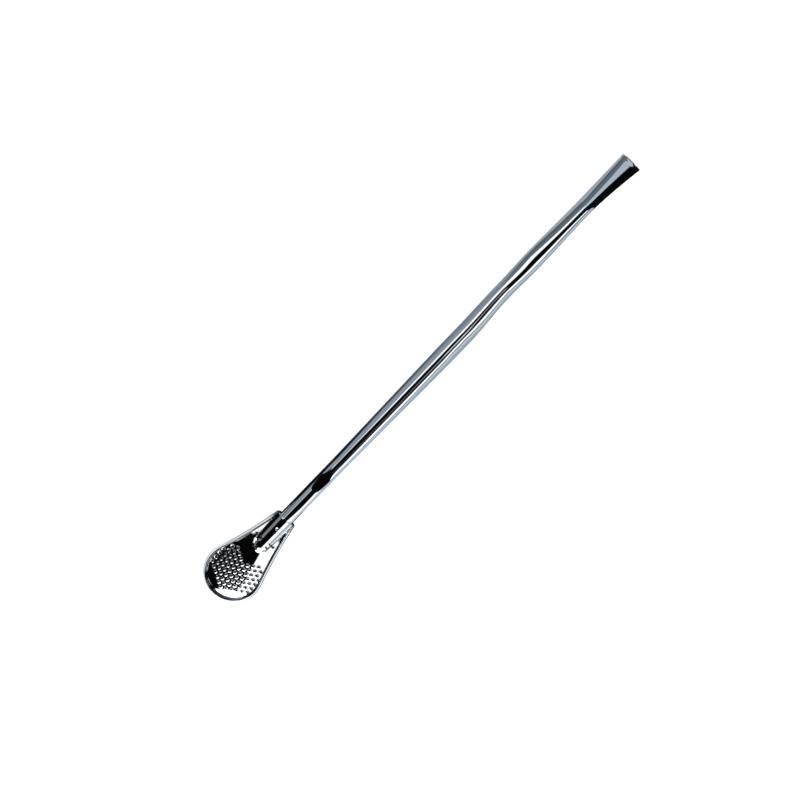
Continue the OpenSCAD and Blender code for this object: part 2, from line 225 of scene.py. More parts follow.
def flipped(faces, start=0):
    """The faces turned over, with start added to their point numbers."""
    return [tuple(int(i) + start for i in reversed(f)) for f in faces]


def free_edges(tris):
    """Edges that belong to one triangle only."""
    edges = {(int(t[i]), int(t[(i + 1) % 3])): True for t in tris for i in range(3)}
    return [(a, b) for a, b in edges if (b, a) not in edges]


def triangulate(loops, points, keep):
    """Triangles over closed loops and free points; keep says which triangle centres stay."""
    verts, edges = [], []
    for loop in loops:
        start = len(verts)
        verts += [Vector(p) for p in loop]
        edges += [(start + i, start + (i + 1) % len(loop)) for i in range(len(loop))]
    verts += [Vector(p) for p in points]
    out, _, tris, _, _, _ = delaunay_2d_cdt(verts, edges, [], 0, 1e-5)
    flat = np.array([(v.x, v.y) for v in out])
    tris = np.array([t for t in tris if len(t) == 3])
    centre = flat[tris].mean(axis=1)
    tris = tris[keep(centre[:, 0], centre[:, 1])]
    a, b, c = flat[tris[:, 0]], flat[tris[:, 1]], flat[tris[:, 2]]
    area = (b[:, 0] - a[:, 0]) * (c[:, 1] - a[:, 1]) - (b[:, 1] - a[:, 1]) * (c[:, 0] - a[:, 0])
    tris[area < 0] = tris[area < 0][:, ::-1]
    tris = tris[np.abs(area) > 1e-9]
    used = np.unique(tris)
    place = np.full(len(flat), -1)
    place[used] = np.arange(len(used))
    return flat[used], place[tris]


def hex_points(step, keep):
    """An even field of points over the head; keep says which stay."""
    points = []
    for i, y in enumerate(np.arange(-BOWL_R, BOWL_R, step * 0.866)):
        xs = np.arange(END_X + (step / 2 if i % 2 else 0), NECK_X, step)
        points.append(np.stack([xs, np.full_like(xs, y)], axis=1))
    points = np.concatenate(points)
    return points[keep(points[:, 0], points[:, 1])]


def slope_normal(height, x, y):
    step = NORMAL_STEP
    dx = (height(x + step, y) - height(x - step, y)) / (2 * step)
    dy = (height(x, y + step) - height(x, y - step)) / (2 * step)
    n = np.stack([-dx, -dy, np.ones_like(dx)], axis=1)
    return n / np.linalg.norm(n, axis=1)[:, None]


def sheet_object(name, flat, tris, top, under, material):
    """A sheet between two heights, closed round its edge and in its holes."""
    n = len(flat)
    x, y = flat[:, 0], flat[:, 1]
    verts = np.concatenate([np.column_stack([flat, top(x, y)]), np.column_stack([flat, under(x, y)])])
    up, down = slope_normal(top, x, y), -slope_normal(under, x, y)
    faces = [tuple(map(int, t)) for t in tris] + flipped(tris, n)
    normals = [up[i] for t in tris for i in t] + [down[i] for t in tris for i in reversed(t)]
    rim = free_edges(tris)
    side = np.zeros((n, 2))
    for a, b in rim:
        across = np.array([flat[b][1] - flat[a][1], flat[a][0] - flat[b][0]])
        across /= max(np.hypot(*across), 1e-9)
        side[a] += across
        side[b] += across
    side /= np.maximum(np.hypot(side[:, 0], side[:, 1]), 1e-9)[:, None]
    for a, b in rim:
        faces.append((b, a, a + n, b + n))
        normals += [(*side[i], 0) for i in (b, a, a, b)]
    return make_object(name, verts, faces, material, normals)


# Materials
def add_node(tree, kind, inputs=None, **settings):
    """A new node. An input's value is a number, a colour or another node's output."""
    node = tree.nodes.new(kind)
    for key, value in settings.items():
        setattr(node, key, value)
    for key, value in (inputs or {}).items():
        if isinstance(value, bpy.types.NodeSocket):
            tree.links.new(value, node.inputs[key])
        else:
            node.inputs[key].default_value = value
    return node


def new_material(name):
    material = bpy.data.materials.new(name)
    material.use_nodes = True
    return material, material.node_tree


CLOUD_SCALE, CLOUD_DETAIL, CLOUD_TINT = 90, 4, 0.97
LINE_SCALE, LINE_DETAIL, LINE_DEPTH = 700, 3, 0.00002
# The tint is painted shade: how far the colour of the inner sides is darkened; their greater roughness is
# their own
PAINTED_SHADE_TINT, DULL_ROUGHNESS = 0.2, 0.6


def metal(name, color, low, high, bump, stretch=(1, 1, 1), dull_and_shaded=0):
    """Steel whose roughness runs from low to high in fine polishing lines, with faint clouding.

    Where the last argument isn't 0, the sides that face up (1) or down (-1) are rougher and get painted
    shade: their colour is darkened."""
    material, tree = new_material(name)
    coords = add_node(tree, "ShaderNodeTexCoord")
    place = coords.outputs["Object"]
    cloud = add_node(tree, "ShaderNodeTexNoise",
                     {"Vector": place, "Scale": CLOUD_SCALE, "Detail": CLOUD_DETAIL})
    spread = add_node(tree, "ShaderNodeMapping", {"Vector": place, "Scale": stretch})
    lines = add_node(tree, "ShaderNodeTexNoise",
                     {"Vector": spread.outputs["Vector"], "Scale": LINE_SCALE, "Detail": LINE_DETAIL})
    polish = lines.outputs["Fac"]
    unpolished_and_shaded = 0
    if dull_and_shaded:
        facing = add_node(tree, "ShaderNodeSeparateXYZ", {"Vector": coords.outputs["Normal"]})
        inner = add_node(tree, "ShaderNodeMapRange", {
            "Value": facing.outputs["Z"], "From Min": 0.1 * dull_and_shaded, "From Max": 0.25 * dull_and_shaded})
        unpolished_and_shaded = inner.outputs["Result"]
    tint = add_node(tree, "ShaderNodeValToRGB", {"Fac": cloud.outputs["Fac"]})
    for element, at, level in zip(tint.color_ramp.elements, (0.3, 0.7), (CLOUD_TINT, 1)):
        element.position = at
        element.color = (*[c * level for c in color], 1)
    # Painted shade: on the inner sides the colour is darkened by the tint above
    shade = add_node(tree, "ShaderNodeMix", {
        "Factor": unpolished_and_shaded, "A": tint.outputs["Color"], "B": (*[c * PAINTED_SHADE_TINT for c in color], 1),
    }, data_type="RGBA")
    rough = add_node(tree, "ShaderNodeMapRange", {
        "Value": polish, "From Min": 0.35, "From Max": 0.7, "To Min": low, "To Max": high})
    grain = add_node(tree, "ShaderNodeMix", {
        "Factor": unpolished_and_shaded, "A": rough.outputs["Result"], "B": DULL_ROUGHNESS})
    relief = add_node(tree, "ShaderNodeBump", {
        "Height": polish, "Strength": bump, "Distance": LINE_DEPTH})
    shader = tree.nodes["Principled BSDF"]
    shader.inputs["Metallic"].default_value = 1.0
    tree.links.new(shade.outputs["Result"], shader.inputs["Base Color"])
    tree.links.new(grain.outputs["Result"], shader.inputs["Roughness"])
    tree.links.new(relief.outputs["Normal"], shader.inputs["Normal"])
    return material


STEEL, BUSH_STEEL = (0.90, 0.92, 0.94), (0.70, 0.72, 0.74)
tube_metal = metal("tube_steel", STEEL, 0.02, 0.045, 0.012, (0.1, 1, 1))
# The plate's underside and the bowl's inside are rougher, and their colour is darkened as painted shade
plate_metal = metal("strainer_steel", STEEL, 0.02, 0.05, 0.012, dull_and_shaded=-1)
bowl_metal = metal("bowl_steel", STEEL, 0.03, 0.07, 0.015, dull_and_shaded=1)
edge_metal = metal("edge_steel", STEEL, 0.06, 0.12, 0.02)
bush_metal = metal("bush_steel", BUSH_STEEL, 0.2, 0.38, 0.2, (12, 0.2, 0.2))


# The straw tube
TUBE_ANGLES = 2 * np.pi * np.arange(TUBE_SIDES) / TUBE_SIDES
# Steps along the stem's rounded end, and how far each ring is drawn in
STEM_END = [(0.0, -0.4), (0.0, -0.12), (0.03, -0.04), (0.12, 0.0)]
# Share of the bead's length over which it rises
BEAD_RISE = 0.7


def along_mouth(s, values):
    """A measure of the mouthpiece at s, from its values at the five places named above."""
    start, waist, swell, throat, lip = values
    if s < WAIST_S:
        return between(start, waist, ease(s / WAIST_S))
    if s < SWELL_S:
        return between(waist, swell, ease((s - WAIST_S) / (SWELL_S - WAIST_S)))
    if s < THROAT_S:
        return between(swell, throat, ease((s - SWELL_S) / (THROAT_S - SWELL_S)))
    return between(throat, lip, ((s - THROAT_S) / THROAT_FROM_LIP) ** FLARE_POWER)


def tube_ring(x, offset):
    """The tube's section at x, grown by offset."""
    s = x - MOUTH_X
    if s <= 0:
        w = h = between(STEM_R, TUBE_R, np.clip((x - TAPER_START) / TAPER_LENGTH, 0, 1)) + offset
        y, drop, power = 0.0, 0.0, 1.0
    else:
        w = along_mouth(s, MOUTH_WIDTHS) / 2 + offset
        h = along_mouth(s, MOUTH_HEIGHTS) / 2 + offset
        y = along_mouth(s, MOUTH_SWAYS)
        drop = LIP_DROP * (max(0.0, s - WAIST_S) / WAIST_FROM_LIP) ** BEND_POWER
        power = 2 / along_mouth(s, MOUTH_FULLNESS)
    return np.stack([
        np.full(TUBE_SIDES, x),
        y + w * signed_power(np.cos(TUBE_ANGLES), power),
        AXIS_Z - drop + h * signed_power(np.sin(TUBE_ANGLES), power),
    ], axis=1)


def make_tube():
    bead_x, roll_x = LIP_X - LIP_LENGTH, LIP_X - LIP_ROLL
    places = [(STEM_X + step, offset) for step, offset in STEM_END]
    places += [(x, 0.0) for x in np.linspace(STEM_X + 1, MOUTH_X, 110)]
    places += [(x, 0.0) for x in np.linspace(MOUTH_X, bead_x, 130)[1:]]
    for share in np.linspace(0.1, 1, 10):
        places.append((between(bead_x, roll_x, share), LIP_BEAD * ease(share / BEAD_RISE)))
    middle, half = (LIP_BEAD - WALL) / 2, (LIP_BEAD + WALL) / 2
    for a in np.linspace(0, math.pi, 15)[1:]:
        places.append((roll_x + LIP_ROLL * math.sin(a), middle + half * math.cos(a)))
    places += [(x, -WALL) for x in np.linspace(LIP_X - 1, STEM_X + 1, 110)]
    places.append((STEM_X, -WALL))
    rings = [tube_ring(x, offset) for x, offset in places]
    faces = flipped(band(len(rings), TUBE_SIDES, looped_rings=True))
    tube = make_object("straw_tube_polished", np.concatenate(rings), faces, tube_metal)
    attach(tube, "straw")
    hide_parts("straw_tube")


# The holes
class Hole:
    """A round hole with a raised rim. Seen from above it is a circle drawn on two axes."""

    def __init__(self, x, y, rim, first=(1, 0), second=(0, 1)):
        self.centre = np.array([x, y])
        self.rim = rim
        self.axes = np.array([first, second], float).T
        self.back = np.linalg.inv(self.axes)

    def ring(self, r, n, turn=0.0):
        a = 2 * np.pi * (np.arange(n) + turn) / n
        return self.centre + r * np.stack([np.cos(a), np.sin(a)], axis=1) @ self.axes.T

    def distance(self, x, y):
        q = np.stack([x - self.centre[0], y - self.centre[1]], axis=-1) @ self.back.T
        return np.hypot(q[..., 0], q[..., 1])


def nearest(holes, x, y):
    return np.min([hole.distance(x, y) for hole in holes], axis=0)


def hole_field():
    """Centres of the field of holes, in columns along the head."""
    first_x, column_step = BOWL_X + HOLE_START, PITCH * math.sin(math.radians(60))
    return [
        (first_x + (abs(k) / 2 - i) * PITCH, k * column_step)
        for k in range(-SIDE_COLUMNS, SIDE_COLUMNS + 1) for i in range(HOLES_PER_COLUMN)
    ]


def fits_plate(x, y):
    in_width = abs(y) + HOLE_R + HOLE_MARGIN + SLOPE_FOOT < half_width(x, 0)
    return in_width and x < BOWL_X + HOLE_LIMIT


def sleeve_holes():
    """Holes round the nose, on the sleeve's shoulders and at its foot."""
    holes = []
    for a in (-NOSE_HOLE_SPREAD, 0.0, NOSE_HOLE_SPREAD):
        out = np.array([-math.cos(a), -math.sin(a)])
        x, y = NOSE_R * math.cos(NOSE_HOLE_TILT) * out + [NOSE_X, 0]
        holes.append(Hole(x, y, SLEEVE_RIM, out * math.sin(NOSE_HOLE_TILT), (-out[1], out[0])))
    for side in (-1, 1):
        for row in (0, 1):
            x = NOSE_X + SHOULDER_START + row * SHOULDER_PITCH
            y = side * sleeve_radius(x) * math.sin(SHOULDER_TILT)
            holes.append(Hole(x, y, SLEEVE_RIM, second=(0, math.cos(SHOULDER_TILT))))
        x = NOSE_X + FOOT_HOLE_START
        holes.append(Hole(x, side * (sleeve_radius(x) + FOOT_HOLE_MARGIN + HOLE_R), FOOT_RIM))
    return holes


plate_holes = [Hole(x, y, PLATE_RIM) for x, y in hole_field() if fits_plate(x, y)] + sleeve_holes()
back_holes = [Hole(x, y, 0) for x, y in hole_field() if math.hypot(x - BOWL_X, y) < BACK_FIELD]


# The strainer plate: a sheet over the head's outline, with a height for every point
def rim_height(d, height):
    """A hole's raised rim: a flank outside its crest, and a rounded edge inside it."""
    flank = height * (1 - ease((d - RIM_PEAK) / (RIM_OUT - RIM_PEAK)))
    u = np.clip((RIM_PEAK - d) / RIM_ROUND_WIDTH, 0, 1)
    return flank - RIM_ROUND_DROP * (1 - np.sqrt(np.maximum(0, 1 - u * u)))


def sleeve_height(x, y):
    """The half-round sleeve with its nose and its dimple."""
    run = np.minimum(x - NOSE_X, 0)
    r = sleeve_radius(x)
    room = r * r - y * y - run * run
    beside = AXIS_Z - SLEEVE_FALL * (np.hypot(y, run) - r)
    sleeve = np.where(room > 0, AXIS_Z + np.sqrt(np.maximum(room, 0)), beside)
    punch = DIMPLE_R ** 2 - (x - DIMPLE_X) ** 2 - y * y
    punch_z = AXIS_Z + sleeve_radius(DIMPLE_X) + DIMPLE_R - DIMPLE_DEPTH
    floor = punch_z - np.sqrt(np.maximum(punch, 0))
    return np.where(punch > 0, -smooth_max(-sleeve, -floor, DIMPLE_FILLET), sleeve)


def plate_height(x, y):
    edge = np.minimum(inset_of(x, y), GROOVE_X + SLOPE_TOP - x)
    wall = ease((edge - SLOPE_TOP) / STEEP_WALL)
    across = np.clip((edge - SLOPE_FOOT) / (BOWL_R - SLOPE_FOOT), 0, 1)
    plate = between(PLATE_TOP, GROOVE_TOP, wall) + DOME_RISE * (1 - (1 - across) ** 2)
    z = smooth_max(plate, sleeve_height(x, y), SLEEVE_FILLET)
    for hole in plate_holes:
        d = hole.distance(x, y)
        z = np.where(d < RIM_OUT, z + rim_height(d, hole.rim), z)
    return z


def plate_under(x, y):
    return plate_height(x, y) - SHEET


def plate_points():
    """Points of the plate's mesh: an even field, and rows where the shape turns quickly."""
    def in_field(x, y):
        in_plate = (inset_of(x, y) > 2.0) & (x < NECK_X - 0.1)
        return in_plate & (nearest(plate_holes, x, y) > RIM_OUT + 0.1)

    points = [hex_points(0.4, in_field)]
    for inset in EDGE_ROWS:
        row = outline(inset, NECK_X - 0.02, *PLATE_STEPS)
        points.append(row[nearest(plate_holes, row[:, 0], row[:, 1]) > RIM_OUT + 0.04])
    xs = np.arange(NOSE_X, NECK_X - 0.05, 0.3)
    turns = np.radians(np.arange(92, 269, 4))
    for share in SLEEVE_ROWS:
        for side in (-1, 1):
            points.append(np.stack([xs, side * sleeve_radius(xs) * share], axis=1))
        points.append(NOSE_R * share * np.stack([np.cos(turns), np.sin(turns)], axis=1) + [NOSE_X, 0])
    for hole in plate_holes:
        points += [hole.ring(r, HOLE_SIDES, 0.5 * (i % 2)) for i, r in enumerate(HOLE_ROWS)]
    points = np.concatenate(points)
    x, y = points.T
    in_plate = (inset_of(x, y) > PLATE_INSET) & (x < NECK_X)
    return points[in_plate & (nearest(plate_holes, x, y) > HOLE_R + 0.015)]


def make_plate():
    def keep(x, y):
        in_plate = (inset_of(x, y) > PLATE_INSET - 0.001) & (x < NECK_X)
        return in_plate & (nearest(plate_holes, x, y) > HOLE_R - 0.004)

    loops = [outline(PLATE_INSET, NECK_X)] + [hole.ring(HOLE_R, HOLE_SIDES) for hole in plate_holes]
    flat, tris = triangulate(loops, plate_points(), keep)
    plate = sheet_object("front_strainer_pressed", flat, tris, plate_height, plate_under, plate_metal)
    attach(plate, "strainer_head")
    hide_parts("front_strainer")


# The back bowl: its folded edge and its shell
def fold_section():
    """Insets and heights round the folded edge, starting at its foot."""
    lower, upper = (
        [tuple(p) for p in np.linspace(*flank, FLANK_STEPS)]
        for flank in (FOLD_LOWER_FLANK, FOLD_UPPER_FLANK))
    section = FOLD_FOOT + lower + FOLD_BEND + upper + FOLD_CREST + FOLD_INSIDE
    return [(inset, FOLD_Z + rise) for inset, rise in section]


def make_fold():
    rings = []
    for inset, z in fold_section():
        ring = outline(inset, NECK_X, *BOWL_STEPS)
        x, across = ring[:, 0], np.abs(ring[:, 1])
        room = (sleeve_radius(x) + CRIMP) ** 2 - (z - AXIS_Z) ** 2
        beside_sleeve = (x > NOSE_X) & (z > AXIS_Z)
        clear = np.where(beside_sleeve, np.sqrt(np.maximum(room, 0)), 0)
        widest = np.maximum(half_width(x, 0.02), across)
        y = np.where(ring[:, 1] >= 0, 1, -1) * np.clip(clear, across, widest)
        rings.append(np.column_stack([x, y, np.full(len(ring), z)]))
    count, n = len(rings), len(rings[0])
    faces = band(count, n, looped_rings=True, looped_points=False)
    faces.append(tuple(i * n for i in range(count)))
    faces.append(tuple(i * n + n - 1 for i in reversed(range(count))))
    rim = make_object("back_bowl_folded_edge", np.concatenate(rings), flipped(faces), edge_metal, sharp=50)
    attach(rim, "strainer_head")


def bowl_height(x, y, inward=0.0):
    """The bowl's underside, or its inside when drawn inward by the sheet's thickness."""
    inset = RIM_STEP + inward
    rise = ease((x - RISE_START) / (RISE_END - RISE_START))
    u = np.clip(np.maximum(0, BOWL_X - x) / (BOWL_R - inset), 0, 1)
    round_end = (1 - u ** FULLNESS) ** (1 / FULLNESS)
    depth = between(BOWL_DEPTH + FLAT_DEPTH, SLEEVE_R, rise) * round_end - inward
    full = between(FULLNESS, 2, rise)
    v = np.clip(np.abs(y) / np.maximum(half_width(x, inset), 1e-6), 0, 1)
    z = AXIS_Z - np.maximum(depth, 0.0) * (1 - v ** full) ** (1 / full)
    return smooth_max(z, np.full_like(z, inward), BACK_FILLET)


def bowl_side(insets, step, neck_room, inward):
    """One side of the bowl: rows that follow its edge, then a field of triangles with the holes.

    Gives its points, its faces seen from below, and the edges of its holes."""
    rows = [outline(inset, NECK_X, *BOWL_STEPS) for inset in insets]
    last, start = insets[-1], len(rows) * len(rows[0])

    def in_field(x, y):
        in_bowl = (inset_of(x, y) > last + 0.3) & (x < NECK_X - neck_room)
        return in_bowl & (nearest(back_holes, x, y) > HOLE_R + 0.12)

    def keep(x, y):
        in_bowl = (inset_of(x, y) > last - 0.002) & (x < NECK_X)
        return in_bowl & (nearest(back_holes, x, y) > HOLE_R - 0.004)

    loops = [rows[-1]] + [hole.ring(HOLE_R, BACK_HOLE_SIDES) for hole in back_holes]
    flat, tris = triangulate(loops, hex_points(step, in_field), keep)
    points = np.concatenate(rows + [flat])
    verts = np.column_stack([points, bowl_height(points[:, 0], points[:, 1], inward)])
    faces = band(len(rows), len(rows[0]), looped_points=False) + flipped(tris, start)
    at_hole = nearest(back_holes, flat[:, 0], flat[:, 1]) < HOLE_R + 0.01
    hole_edges = [(a + start, b + start) for a, b in free_edges(tris) if at_hole[a]]
    return verts, faces, hole_edges


def make_shell():
    outer, faces, hole_edges = bowl_side(BOWL_ROWS, 0.5, 0.2, 0.0)
    inner, inner_faces, _ = bowl_side(BOWL_ROWS[::3] + SHEET, 0.8, 0.3, SHEET)
    # The walls of the holes, as high as the sheet is thick
    rim = sorted({i for edge in hole_edges for i in edge})
    above = {i: len(outer) + k for k, i in enumerate(rim)}
    faces += [(a, b, above[b], above[a]) for a, b in hole_edges]
    hole_tops = outer[rim] + [0, 0, SHEET]
    # The inside, and the edge between the two sides
    begin = len(outer) + len(rim)
    faces += flipped(inner_faces, begin)
    edge_points = len(outline(0, NECK_X, *BOWL_STEPS))
    faces += [(j + 1, j, begin + j, begin + j + 1) for j in range(edge_points - 1)]
    verts = np.concatenate([outer, hole_tops, inner])
    shell = make_object("back_bowl_shell", verts, faces, bowl_metal, sharp=40)
    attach(shell, "strainer_head")
    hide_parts("back_bowl")


# The bush in the neck
def make_bush():
    cut = BUSH_BEVEL
    face_x = NECK_X - BUSH_RECESS
    back_x = face_x - BUSH_LENGTH
    face_r = SLEEVE_R - SHEET - CRIMP - SLEEVE_SLOPE * BUSH_RECESS
    back_r = face_r - SLEEVE_SLOPE * BUSH_LENGTH
    section = [
        (back_x, SOCKET_R + cut), (back_x, back_r - cut), (back_x + cut, back_r), (face_x - cut, face_r),
        (face_x, face_r - cut), (face_x, SOCKET_R + cut), (face_x - cut, SOCKET_R), (back_x + cut, SOCKET_R),
    ]
    a = 2 * np.pi * np.arange(BUSH_SIDES) / BUSH_SIDES
    rings = [
        np.stack([np.full(BUSH_SIDES, x), r * np.cos(a), AXIS_Z + r * np.sin(a)], axis=1)
        for x, r in section
    ]
    faces = flipped(band(len(rings), BUSH_SIDES, looped_rings=True))
    bush = make_object("neck_bush_turned", np.concatenate(rings), faces, bush_metal, sharp=30)
    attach(bush, "strainer_head")
    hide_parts("neck_bush")


make_tube()
make_plate()
make_fold()
make_shell()
make_bush()


# Floor: white where the camera sees it, with a painted contact shadow close under the object, and unseen in
# the steel
FLOOR_HALF, FLOOR_Z = 3.0, -0.00005
FLOOR_COLOR, FLOOR_LIGHT = (0.50, 0.49, 0.48), 0.92
CONTACT_SHADOW_DISTANCE, CONTACT_SHADOW_POWER = 0.0012, 5


def make_floor():
    mesh = bpy.data.meshes.new("floor")
    corners = [(x * FLOOR_HALF, y * FLOOR_HALF, 0) for x, y in ((-1, -1), (1, -1), (1, 1), (-1, 1))]
    mesh.from_pydata(corners, [], [(0, 1, 2, 3)])
    floor = bpy.data.objects.new("floor", mesh)
    floor.location.z = FLOOR_Z
    bpy.context.collection.objects.link(floor)
    material, tree = new_material("floor_white")
    tree.nodes.clear()
    path = add_node(tree, "ShaderNodeLightPath")
    seen = add_node(tree, "ShaderNodeMath", {0: path.outputs["Is Camera Ray"], 1: FLOOR_LIGHT},
                    operation="MULTIPLY")
    # Painted contact shadow: the floor's white glow is darkened where the object is close above it
    near = add_node(tree, "ShaderNodeAmbientOcclusion", {"Distance": CONTACT_SHADOW_DISTANCE}, samples=4)
    outside_contact_shadow = add_node(tree, "ShaderNodeMath", {0: near.outputs["AO"], 1: CONTACT_SHADOW_POWER},
                        operation="POWER")
    light = add_node(tree, "ShaderNodeMath", {0: seen.outputs["Value"], 1: outside_contact_shadow.outputs["Value"]},
                     operation="MULTIPLY")
    glow = add_node(tree, "ShaderNodeEmission",
                    {"Color": (1, 1, 1, 1), "Strength": light.outputs["Value"]})
    diffuse = add_node(tree, "ShaderNodeBsdfDiffuse", {"Color": (*FLOOR_COLOR, 1)})
    both = add_node(tree, "ShaderNodeAddShader",
                    {0: diffuse.outputs["BSDF"], 1: glow.outputs["Emission"]})
    add_node(tree, "ShaderNodeOutputMaterial", {"Surface": both.outputs["Shader"]})
    mesh.materials.append(material)
    floor.visible_glossy = False


make_floor()


# Cards of the studio, seen only in the steel
DARK = 0.002
CARD_Z = 105


def make_card(name, corners, strength, color=(1, 1, 1)):
    mesh = bpy.data.meshes.new(name)
    mesh.from_pydata([Vector(c) * MM for c in corners], [], [tuple(range(len(corners)))])
    card = bpy.data.objects.new(name, mesh)
    bpy.context.collection.objects.link(card)
    material, tree = new_material(name)
    tree.nodes.clear()
    glow = add_node(tree, "ShaderNodeEmission", {"Color": (*color, 1), "Strength": strength})
    add_node(tree, "ShaderNodeOutputMaterial", {"Surface": glow.outputs["Emission"]})
    mesh.materials.append(material)
    card.visible_camera = card.visible_diffuse = card.visible_shadow = False


def level(x0, x1, y0, y1, z=CARD_Z):
    """Corners of a card that lies level."""
    return [(x0, y0, z), (x1, y0, z), (x1, y1, z), (x0, y1, z)]


def upright(start, end, low, high):
    """Corners of a card that stands on the line from start to end."""
    return [(*start, low), (*end, low), (*end, high), (*start, high)]


def make_cards():
    # Dark cards beside the lip and behind the head, and a small dark sheet beside the sleeve's foot that
    # paints shade into the crease there, as the steel reflects it
    make_card("dark_card_lip", upright((101, -30), (170, -30), -50, 40), 0.003)
    sleeve_crease_shade = [(-90, 4.15, 6.2), (-75.8, 4.6, 6.2), (-75.8, 4.6, 8.8), (-90, 4.15, 8.6)]
    make_card("sleeve_crease_shade_card", sleeve_crease_shade, DARK)
    make_card("dark_card_back", upright((-60, -40), (-60, 40), 12, 60), DARK)
    # Above the head and beside it, for the plate and the rims of its holes
    make_card("dark_card_head", level(-150, -107, -50, 72), DARK)
    make_card("dark_card_stem", level(-107, -64, -25, 30), DARK)
    make_card("white_card_head", level(-150, -106, -150, -50), 1.15)
    make_card("dark_card_shoulder", level(-106, -96, -112, -66), DARK)
    make_card("dark_card_side", upright((-125, 25), (-101, 25), 5, 40), DARK)
    # The table round the head, for its folded edge: white further out, with painted shade on it close round
    # the head and under the head's end and neck
    make_card("white_table_head", level(-165, -81, -60, 60, -0.2), 0.95, (0.95, 1, 1.05))
    near_head = [(x + 3, y, -0.1) for x, y in outline(-8, -83, 12, 40)]
    make_card("shaded_table_head", near_head, 1.0, (0.12, 0.17, 0.25))
    # Painted shade on the table under the bowl's end and under the neck
    turns = np.radians(range(0, 360, 10))
    under_end = [(BOWL_X - 4.5 + 12 * math.cos(a), 12 * math.sin(a), -0.06) for a in turns]
    make_card("shaded_table_end", under_end, 0.01)
    make_card("shaded_table_neck", level(-83, -71, -13, 13, -0.08), 0.004)


make_cards()


# Studio round the object: bands of light and dark along the straw, as soft boxes and dark cards give
CAMERA_LEAN = 4.5
BLACK, WHITE, BRIGHT = (0.002, 0.002, 0.003), (1.15, 1.16, 1.17), (4.0, 4.0, 4.0)
SOFT_BOX, PALE, BLUE = (1.6, 1.6, 1.6), (0.50, 0.58, 0.67), (0.30, 0.35, 0.41)
# Dim tones; the darker one, for straight down, is painted shade under the object
DIM, SHADE_BELOW = (0.14, 0.17, 0.20), (0.06, 0.07, 0.08)
COOL, PLAIN = (0.84, 1.0, 1.16), (1.0, 1.0, 1.01)


class Studio:
    """Nodes that paint the world by a direction's roll about X and its lean along X, in degrees."""

    LEAN = (-60.0, 40.0)

    def __init__(self):
        world = bpy.data.worlds.new("studio")
        world.use_nodes = True
        bpy.context.scene.world = world
        self.tree = world.node_tree
        self.tree.nodes.clear()
        coords = add_node(self.tree, "ShaderNodeTexCoord")
        parts = add_node(self.tree, "ShaderNodeSeparateXYZ", {"Vector": coords.outputs["Generated"]})
        to_right = self.math("MULTIPLY", parts.outputs["Y"], -1.0)
        turn = self.math("ARCTAN2", to_right, parts.outputs["Z"])
        self.roll = self.math("ADD", self.math("DEGREES", turn), CAMERA_LEAN)
        self.lean = self.math("DEGREES", self.math("ARCSINE", parts.outputs["X"]))

    def math(self, operation, *values):
        node = add_node(self.tree, "ShaderNodeMath", dict(enumerate(values)), operation=operation)
        return node.outputs["Value"]

    def ramp(self, value, start, end, low=0.0, high=1.0, kind="LINEAR"):
        """Low to high as the value goes from start to end."""
        inputs = {"Value": value, "From Min": start, "From Max": end, "To Min": low, "To Max": high}
        return add_node(self.tree, "ShaderNodeMapRange", inputs, interpolation_type=kind).outputs["Result"]

    def curve(self, keys, low, high):
        """A value from low to high along the lean, through (lean, value) keys."""
        first, last = self.LEAN
        node = add_node(self.tree, "ShaderNodeValToRGB", {"Fac": self.ramp(self.lean, first, last)})
        elements = node.color_ramp.elements
        elements.remove(elements[1])
        for i, (lean, value) in enumerate(keys):
            place = (lean - first) / (last - first)
            element = elements[0] if i == 0 else elements.new(place)
            element.position = place
            share = (value - low) / (high - low)
            element.color = (share, share, share, 1)
        return self.ramp(node.outputs["Color"], 0.0, 1.0, low, high)

    def edge(self, keys, soft):
        """0 before and 1 after an edge in the roll, whose place follows the lean."""
        place = self.curve(keys, -180.0, 180.0)
        start, end = self.math("SUBTRACT", place, soft), self.math("ADD", place, soft)
        return self.ramp(self.roll, start, end, kind="SMOOTHSTEP")

    def mix(self, factor, a, b, blend="MIX"):
        a, b = ((*tone, 1) if isinstance(tone, tuple) else tone for tone in (a, b))
        inputs = {"Factor": factor, "A": a, "B": b}
        node = add_node(self.tree, "ShaderNodeMix", inputs, data_type="RGBA", blend_type=blend)
        return node.outputs["Result"]

    def shade(self, keys, tint=COOL):
        """A tinted grey whose level follows the lean."""
        return self.mix(1.0, self.curve(keys, 0.0, 1.2), tint, "MULTIPLY")

    def paint(self, color, bands):
        """The color with bands over it, each from its own edge on."""
        for tone, soft, keys in bands:
            color = self.mix(self.edge(keys, soft), color, tone)
        return color

    def strips(self, color, bands):
        """Bands whose edges are at the same roll for every lean."""
        return self.paint(color, [(tone, soft, [(lean, roll) for lean in self.LEAN])
                                  for tone, soft, roll in bands])

    def beyond(self, start, end, color, strip):
        """The color up to the lean start, and the strip from the lean end on."""
        return self.mix(self.ramp(self.lean, start, end, kind="SMOOTHSTEP"), color, strip)

    def finish(self, color):
        path = add_node(self.tree, "ShaderNodeLightPath")
        seen = self.mix(path.outputs["Is Camera Ray"], color, (1.0, 1.0, 1.0))
        back = add_node(self.tree, "ShaderNodeBackground", {"Color": seen})
        add_node(self.tree, "ShaderNodeOutputWorld", {"Surface": back.outputs["Background"]})


